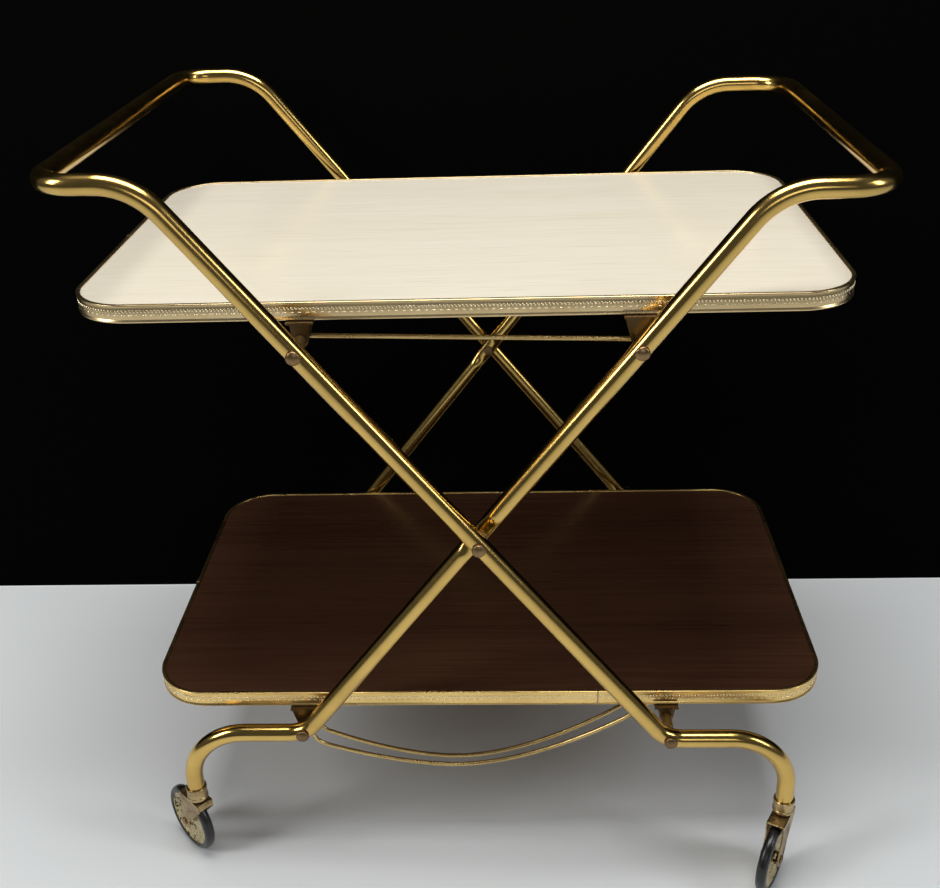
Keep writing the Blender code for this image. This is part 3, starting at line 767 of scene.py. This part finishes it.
board_brown = chip_board()
TRAY_CORNER = 0.056
LIP, LIP_UNDER, WALL = 0.0040, 0.0012, 0.0012
ROPE_DROP, DASH_DROP = 0.0064, 0.0098
for prefix, body, top_print, band_metal in (("top_tray", "top_tray", pale_print, pale_band),
                                            ("low_tray", "lower_tray", walnut_print, rich_band)):
    low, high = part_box(f"{prefix}_edge_band")
    middle = (low.x + high.x) / 2
    half_x, half_y = (high.x - low.x) / 2, (high.y - low.y) / 2
    top, bottom = high.z, low.z
    # The band's face: a crowned lip above, a wall set back that bulges a little, and a smaller lip below.
    section = [(LIP, top - LIP_UNDER)]
    for k in range(11):
        section.append((LIP / 2 * (1 + cos(pi * k / 10)), top - 0.0009 + 0.0009 * sin(pi * k / 10)))
    section += [(0.0002, top - 0.0021), (0.0010, top - 0.0025)]
    for k in range(9):
        section.append((0.0010 - 0.0004 * sin(pi * k / 8), top - 0.0030 - 0.0108 * k / 8))
    section += [(0.0003, bottom + 0.0019), (0, bottom + 0.0012), (0.0003, bottom + 0.0003), (0.0009, bottom)]
    section += [(LIP, bottom), (LIP, bottom + 0.0008), (WALL, bottom + 0.0008), (WALL, top - LIP_UNDER)]
    band = band_piece(f"{prefix}_rolled_band", half_x, half_y, TRAY_CORNER, middle, section, band_metal)
    stands_for(band, body, "embossed_brass", f"{prefix}_edge_band")
    inset = 0.0015
    plan = rounded_rectangle(half_x - inset, half_y - inset, TRAY_CORNER - inset, middle)
    low_z, high_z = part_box(f"{prefix}_board")[0].z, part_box(f"{prefix}_board")[1].z
    board = sheet_piece(f"{prefix}_pressed_board", plan, low_z, high_z, 0.0003, board_brown)
    stands_for(board, body, "particle_board", f"{prefix}_board")
    low_z, high_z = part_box(f"{prefix}_laminate")[0].z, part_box(f"{prefix}_laminate")[1].z
    film = sheet_piece(f"{prefix}_printed_laminate", plan, low_z, high_z, 0.0001, top_print)
    slot = "pale_laminate" if prefix == "top_tray" else "walnut_laminate"
    stands_for(film, body, slot, f"{prefix}_laminate")

    # The marks take the paler brass, a painted highlight for their glint.
    for word, drop, pitch, size, lean in (
        ("rope", ROPE_DROP, 0.0032, (0.0018, 0.0007, 0.0008), radians(48)),
        ("dashes", DASH_DROP, 0.0064, (0.0022, 0.0006, 0.0006), 0),
    ):
        ring = rounded_rectangle(half_x - 0.0008, half_y - 0.0008, TRAY_CORNER - 0.0008, middle, 24)
        path = line_mesh(f"{prefix}_{word}_line", [(x, y, top - drop) for x, y in ring], closed=True)
        marks = grown(f"{prefix}_{word}_marks", path, marks_along_band, pitch=pitch, mark_size=size,
                      lean=(0, lean, 0), finish=mark_brass)
        stands_for(marks, body, "embossed_brass")

    # The band's ends meet at a butt joint at the left, covered by a thin folded clip.
    wide, proud = 0.0055, 0.0004
    near, far = (low.x - proud, -wide / 2, bottom), (low.x + 0.0035, wide / 2, top + proud)
    clip = block(f"{prefix}_joint_clip", near, far, 0.0003, joint_brass)
    stands_for(clip, body, "embossed_brass")
    if prefix == "low_tray":
        near, far = (0.113, low.y - 0.0002, bottom + 0.0002), (0.1145, low.y + 0.002, top)
        clip = block("low_tray_front_seam", near, far, 0.0001, joint_brass)
        stands_for(clip, body, "embossed_brass")


# Under the trays: folded brackets of dull plated steel, each held to the board by two slotted screws, a
# straight tie rod on each side of the top tray, and two bowed wires on each side of the lower one.
def build_screw_tree():
    """The same screw set at each point, upside down."""
    tree = bpy.data.node_groups.new("screws_at_points", "GeometryNodeTree")
    group_socket(tree, "Points", "INPUT", "NodeSocketGeometry")
    group_socket(tree, "Screw", "INPUT", "NodeSocketObject")
    group_socket(tree, "Finish", "INPUT", "NodeSocketMaterial")
    group_socket(tree, "Screws", "OUTPUT", "NodeSocketGeometry")
    given = new_node(tree, "NodeGroupInput")
    result = new_node(tree, "NodeGroupOutput")
    pattern = new_node(tree, "GeometryNodeObjectInfo")
    turn = new_node(tree, "FunctionNodeRandomValue", data_type="FLOAT")
    turn.inputs["Max"].default_value = pi
    turn.inputs["Seed"].default_value = 4
    angles = new_node(tree, "ShaderNodeCombineXYZ")
    placed = new_node(tree, "GeometryNodeInstanceOnPoints")
    real = new_node(tree, "GeometryNodeRealizeInstances")
    painted = new_node(tree, "GeometryNodeSetMaterial")
    random_value = next(socket for socket in turn.outputs if socket.enabled)
    link_up(
        tree,
        (given.outputs["Points"], placed.inputs["Points"]),
        (given.outputs["Screw"], pattern.inputs["Object"]),
        (pattern.outputs["Geometry"], placed.inputs["Instance"]),
        (random_value, angles.inputs["Z"]),
        (angles.outputs[0], placed.inputs["Rotation"]),
        (placed.outputs["Instances"], real.inputs["Geometry"]),
        (real.outputs["Geometry"], painted.inputs["Geometry"]),
        (given.outputs["Finish"], painted.inputs["Material"]),
        (painted.outputs["Geometry"], result.inputs["Screws"]),
    )
    return tree


bracket_brass = plated("bracket_brass", (0.13, 0.085, 0.04), (0.06, 0.04, 0.02), SOOT, 0.9, 0.25, 0.34, 0.1)
wire_brass = plated("wire_brass", (0.66, 0.48, 0.20), (0.36, 0.24, 0.09), SOOT, 0.7, 0.18, 0.18)
screws_at_points = build_screw_tree()
dome = [(0, 0), (0.0024, 0), (0.0024, -0.0004)] + arc_points(0, 0.0006, 0.0022, -20, -85, 5)
dome.append((0, -0.0016))
upside_down = Matrix.Rotation(pi, 4, "X")
screw_head = turned("screw_pattern", [(r, -h) for r, h in dome], upside_down, bracket_brass, 14)
groove = screw_head.modifiers.new("slot", "BOOLEAN")
cutter = block("slot_cutter", (-0.004, -0.0003, -0.003), (0.004, 0.0003, -0.0010), 0.00001, bracket_brass)
groove.object = cutter
groove.solver = "EXACT"
for prefix, body in (("top", "top_tray"), ("low", "lower_tray")):
    spots = []
    for word in ("hinge", "catch"):
        for end, side in ends:
            node = f"{prefix}_{word}_{end}"
            for held in frame["nodes"][node].material_slots:
                held.material = bracket_brass
            low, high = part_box(node)
            depth = (low.y + high.y) / 2
            spots += [(low.x + 0.0032, depth, high.z - 0.0021), (high.x - 0.0032, depth, high.z - 0.0021)]
    mesh = bpy.data.meshes.new(f"{prefix}_screw_spots")
    mesh.from_pydata(spots, [], [])
    screws = grown(f"{prefix}_tray_screws", mesh, screws_at_points, screw=screw_head, finish=bracket_brass)
    stands_for(screws, body, "dull_brass")
for helper in (screw_head, cutter):
    bpy.data.objects.remove(helper, do_unlink=True)

WIRE_R = 0.0022
for end, side in ends:
    low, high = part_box(f"top_tie_rod_{end}")
    depth = (low.y + high.y) / 2
    route = [Vector((low.x, depth, high.z - WIRE_R)), Vector((high.x, depth, low.z + WIRE_R))]
    piece = grown(f"top_tie_rod_brass_{end}", line_mesh("rod_line", route), bar_along_path, bar_radius=WIRE_R,
                  sides=20, finish=wire_brass)
    stands_for(piece, "top_tray", "polished_brass", f"top_tie_rod_{end}")
BOW_LOW_X, LEFT_SPAN, LEFT_RISE, RIGHT_SPAN, RIGHT_RISE = -0.033, 0.148, 0.037, 0.190, 0.076
for word, pinch in (("outer", -0.0045), ("inner", 0.0045)):
    for end, side in ends:
        node = f"low_{word}_wire_{end}"
        low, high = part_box(node)
        held_y = high.y - WIRE_R if (side > 0) == (word == "outer") else low.y + WIRE_R
        floor_z = low.z + WIRE_R
        route = [((low.x + WIRE_R, held_y, high.z - 0.0002), 0, 0), ((-0.1860, held_y, 0.1660), 0.006, 8)]
        for k in range(25):
            share = -1 + 0.08 * k
            if not -1 <= share <= 0.92:
                continue
            fall = 1 - abs(share) ** 1.75
            span, rise = (LEFT_SPAN, LEFT_RISE) if share < 0 else (RIGHT_SPAN, RIGHT_RISE)
            y = held_y + side * pinch * fall
            route.append(((BOW_LOW_X + share * span, y, floor_z + 0.0002 + (1 - fall) * rise), 0.020, 2))
        route += [((0.166, held_y, high.z - WIRE_R), 0.012, 8), ((high.x, held_y, high.z - WIRE_R), 0, 0)]
        start = line_mesh("wire_line", rounded_path(route))
        piece = grown(f"low_{word}_wire_brass_{end}", start, bar_along_path, bar_radius=WIRE_R, sides=16,
                      finish=wire_brass)
        stands_for(piece, "lower_tray", "polished_brass", node)


# The castors: a brass socket on the tube's end, a fork folded from one square of strip, a pressed hub disc
# with pitted plating, a hard black rubber tyre and a peened axle.
def black_rubber():
    material = bpy.data.materials.new("black_rubber")
    material.use_nodes = True
    tree = material.node_tree
    shader = tree.nodes["Principled BSDF"]
    place = new_node(tree, "ShaderNodeTexCoord")
    dust = new_node(tree, "ShaderNodeTexNoise", scale=60.0, detail=6.0, roughness=0.7)
    dusty = new_node(tree, "ShaderNodeMapRange")
    dusty.inputs["From Min"].default_value = 0.50
    dusty.inputs["From Max"].default_value = 0.75
    coat = new_node(tree, "ShaderNodeMix", data_type="RGBA")
    coat.inputs["A"].default_value = (0.008, 0.008, 0.008, 1)
    coat.inputs["B"].default_value = (0.022, 0.020, 0.018, 1)
    rough = new_node(tree, "ShaderNodeMapRange")
    rough.inputs["To Min"].default_value = 0.16
    rough.inputs["To Max"].default_value = 0.42
    relief = new_node(tree, "ShaderNodeBump", strength=0.08, distance=0.0004)
    link_up(
        tree,
        (place.outputs["Object"], dust.inputs["Vector"]),
        (dust.outputs["Fac"], dusty.inputs["Value"]),
        (dusty.outputs[0], coat.inputs["Factor"]),
        (coat.outputs["Result"], shader.inputs["Base Color"]),
        (dust.outputs["Fac"], rough.inputs["Value"]),
        (rough.outputs[0], shader.inputs["Roughness"]),
        (dust.outputs["Fac"], relief.inputs["Height"]),
        (relief.outputs["Normal"], shader.inputs["Normal"]),
    )
    return material


def strip_plate(outline, y0, y1):
    """A plate whose outline lies in X and Z, between two depths, as loose geometry for a fork."""
    count = len(outline)
    points = [(x, y1, z) for x, z in outline] + [(x, y0, z) for x, z in outline]
    faces = [tuple(reversed(range(count))), tuple(range(count, 2 * count))]
    faces += [(k, (k + 1) % count, count + (k + 1) % count, count + k) for k in range(count)]
    return points, faces


def fork_piece(name, placed, finish):
    """The folded fork: a square crown with short skirts front and back and two long cheeks."""
    cheek = [(-0.0125, CROWN_Z), (-0.0125, 0.0712), (-0.0100, 0.0690), (TRAIL - 0.0078, 0.0410)]
    cheek += [(TRAIL + x, WHEEL_R + z) for x, z in arc_points(0, 0, 0.0085, 190, 350, 16)]
    cheek += [(0.0220, 0.0690), (0.0240, 0.0712), (0.0240, CROWN_Z)]
    crown = [(-0.0125, CROWN_Z - 0.0020), (0.0240, CROWN_Z - 0.0020), (0.0240, CROWN_Z), (-0.0125, CROWN_Z)]
    skirt = [(-0.0125, 0.0730), (-0.0107, 0.0730), (-0.0107, CROWN_Z - 0.001), (-0.0125, CROWN_Z - 0.001)]
    plates = [strip_plate(cheek, -0.0093, -0.0075), strip_plate(cheek, 0.0075, 0.0093)]
    plates += [strip_plate(crown, -0.0090, 0.0090), strip_plate(skirt, -0.0090, 0.0090)]
    points, faces = [], []
    for plate_points, plate_faces in plates:
        faces += [tuple(len(points) + k for k in face) for face in plate_faces]
        points += plate_points
    mesh = bpy.data.meshes.new(name)
    mesh.from_pydata(points, [], faces)
    mesh.transform(placed)
    mesh.update()
    mesh.materials.append(finish)
    piece = bpy.data.objects.new(name, mesh)
    bpy.context.scene.collection.objects.link(piece)
    eased = piece.modifiers.new("eased", "BEVEL")
    eased.width = 0.0004
    eased.segments = 2
    eased.limit_method = "ANGLE"
    return piece


fork_brass = plated("fork_brass", (0.46, 0.34, 0.17), (0.20, 0.13, 0.06), SOOT, 0.9, 0.55, 0.26, 0.15, 45.0)
socket_brass = plated("socket_brass", (0.58, 0.44, 0.22), (0.28, 0.19, 0.09), SOOT, 0.7, 0.30, 0.22, 0.1)
PIT = (0.030, 0.020, 0.010)
hub_brass = plated("hub_brass", (0.66, 0.56, 0.33), (0.42, 0.32, 0.16), PIT, 0.8, 0.85, 0.30, 0.4, 60.0)
tyre_black = black_rubber()
TRAIL, WHEEL_R, CROWN_Z = 0.023, 0.038, 0.0810
socket_profile = [(0.0047, 0.0826), (0.0094, 0.0826), (0.0104, 0.0830), (0.0110, 0.0838), (0.0110, 0.0862)]
socket_profile += [(0.0104, 0.0870), (0.0104, 0.0955), (0.0109, 0.0962), (0.0109, 0.0978), (0.0104, 0.0985)]
socket_profile += [(0.0093, 0.0985), (0.0093, 0.0880), (0.0047, 0.0880)]
stem_profile = [(0, 0.0800), (0.0078, 0.0800), (0.0078, 0.0818), (0.0072, 0.0823), (0.0040, 0.0823)]
stem_profile += [(0.0040, 0.1035), (0.0032, 0.1050), (0, 0.1050)]
half = [(0.0029, 0.0060), (0.0058, 0.0060), (0.0068, 0.0055), (0.0074, 0.0034), (0.0090, 0.0023)]
half += [(0.0150, 0.0018), (0.0200, 0.0020), (0.0245, 0.0028), (0.0268, 0.0042), (0.0280, 0.0046)]
half += [(0.0292, 0.0043), (0.0300, 0.0045), (0.0308, 0.0044)]
hub_profile = [(r, -h) for r, h in half] + half[::-1]
tread = [(0.0309, 0.0049), (0.0318, 0.0054), (0.0335, 0.0055), (0.0352, 0.0051), (0.0366, 0.0042)]
tread += [(0.0376, 0.0028), (WHEEL_R, 0.0010)]
tyre_profile = [(r, -h) for r, h in tread] + tread[::-1]
nub = [(0.0026, 0.0094), (0.0044, 0.0096), (0.0044, 0.0102), (0.0036, 0.0110), (0.0018, 0.0114)]
axle_profile = [(0, -0.0114)] + [(r, -h) for r, h in nub[::-1]] + nub + [(0, 0.0114)]
for word in ("front_left", "front_right", "rear_left", "rear_right"):
    swivel = Vector(joints[f"castor_swivel_{word}"]["pos_m"])
    wheel = Vector(joints[f"wheel_spin_{word}"]["pos_m"])
    axis = Vector(joints[f"wheel_spin_{word}"]["axis"])
    frame_body = joints[f"castor_swivel_{word}"]["parent"]
    foot = Matrix.Translation((swivel.x, swivel.y, 0))
    forward = Vector((wheel.x - swivel.x, wheel.y - swivel.y, 0)).normalized()
    turn = Matrix((forward, Vector((-forward.y, forward.x, 0)), Vector((0, 0, 1)))).transposed().to_4x4()
    hub_place = Matrix.Translation(wheel) @ axis.to_track_quat("Z", "Y").to_matrix().to_4x4()
    piece = turned(f"socket_collar_{word}", socket_profile, foot, socket_brass)
    stands_for(piece, frame_body, "dull_brass", f"socket_{word}")
    piece = fork_piece(f"folded_fork_{word}", foot @ turn, fork_brass)
    stands_for(piece, f"castor_{word}", "dull_brass", f"fork_{word}")
    piece = turned(f"fork_stem_{word}", stem_profile, foot, fork_brass, 32)
    stands_for(piece, f"castor_{word}", "dull_brass")
    piece = turned(f"peened_axle_{word}", axle_profile, hub_place, rivet_brown, 28)
    stands_for(piece, f"castor_{word}", "browned_brass", f"axle_{word}")
    piece = turned(f"hub_disc_{word}", hub_profile, hub_place, hub_brass, 72)
    stands_for(piece, f"wheel_{word}", "pitted_brass", f"hub_{word}")
    piece = turned(f"rubber_tyre_{word}", tyre_profile, hub_place, tyre_black, 96)
    stands_for(piece, f"wheel_{word}", "black_rubber", f"tyre_{word}")
